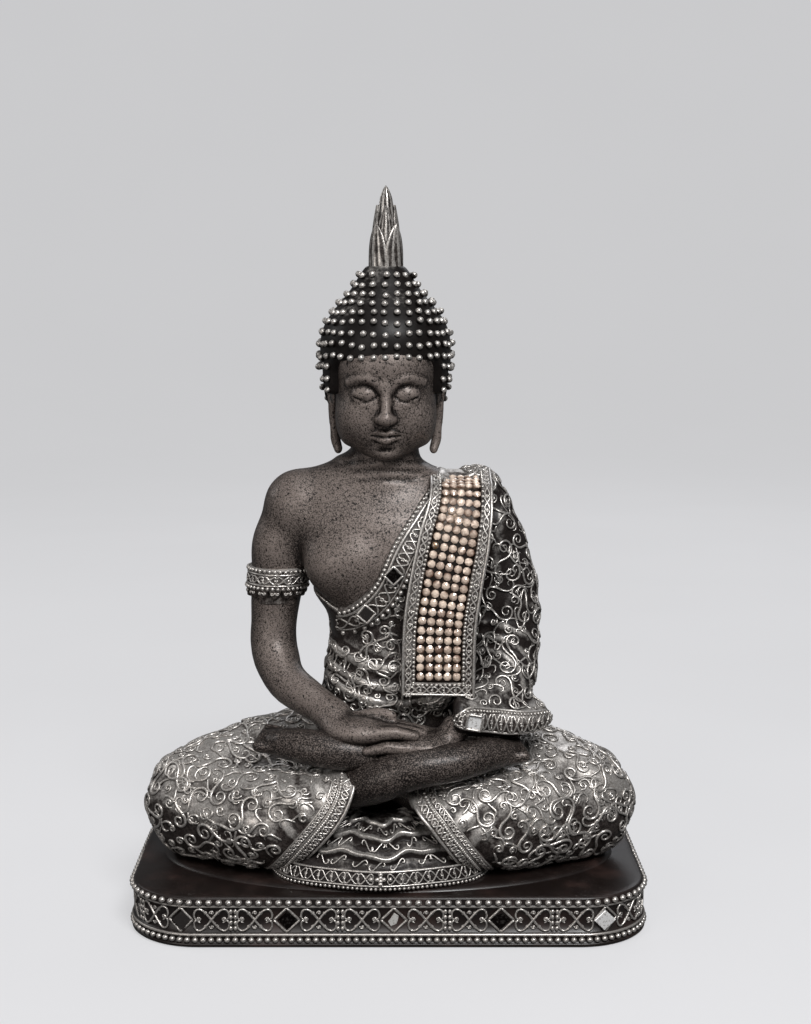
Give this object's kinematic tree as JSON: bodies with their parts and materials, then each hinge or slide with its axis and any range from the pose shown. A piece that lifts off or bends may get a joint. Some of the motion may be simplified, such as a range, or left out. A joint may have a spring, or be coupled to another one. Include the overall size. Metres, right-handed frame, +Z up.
{
  "type": "seated buddha statue",
  "caption": "Seated meditating buddha statue with a flame-topped crown, a jewelled sash and scroll-relief robes on a rounded plinth set with mirror tiles, for display on a shelf or altar",
  "frame": {"origin": "centre of the plinth's underside", "axes": "+Z up through the crown, the figure faces -Y, its own left side is +X"},
  "size_m": [0.2, 0.11, 0.2843],
  "materials": {
    "resin_dark": "dark brown-black antiqued cast resin, semi-gloss",
    "resin_silver": "dark cast resin with silver paint dry-brushed on the raised relief",
    "resin_skin": "smooth dark bronze-brown painted resin, finely speckled",
    "hair_silver": "near-black painted resin with silver-tipped curls",
    "rhinestone": "pale peach faceted stones in small metal cups",
    "mirror_tile": "cut mirror glass"
  },
  "bodies": {
    "root": {"plinth": "resin_dark", "cuff_mirror": "mirror_tile", "chest_mirror_upper": "mirror_tile", "chest_mirror_lower": "mirror_tile", "rhinestone_strip": "rhinestone", "sash_panel": "resin_silver", "flame_finial": "resin_silver", "hair_cap": "hair_silver", "head": "resin_skin", "right_hand": "resin_skin", "left_hand": "resin_skin", "armlet": "resin_silver", "right_arm": "resin_skin", "sleeve_cuff": "resin_silver", "left_sleeve": "resin_silver", "chest_band": "resin_silver", "robe_wrap": "resin_silver", "chest": "resin_skin", "right_foot": "resin_skin", "left_foot": "resin_skin", "right_trouser_hem": "resin_silver", "left_trouser_hem": "resin_silver", "right_trouser_leg": "resin_silver", "left_trouser_leg": "resin_silver", "apron_fall": "resin_silver", "hips_drape": "resin_silver", "plinth_mirror_1": "mirror_tile", "plinth_mirror_2": "mirror_tile", "plinth_mirror_3": "mirror_tile", "plinth_mirror_4": "mirror_tile", "plinth_mirror_5": "mirror_tile"}
  },
  "joints": []
}
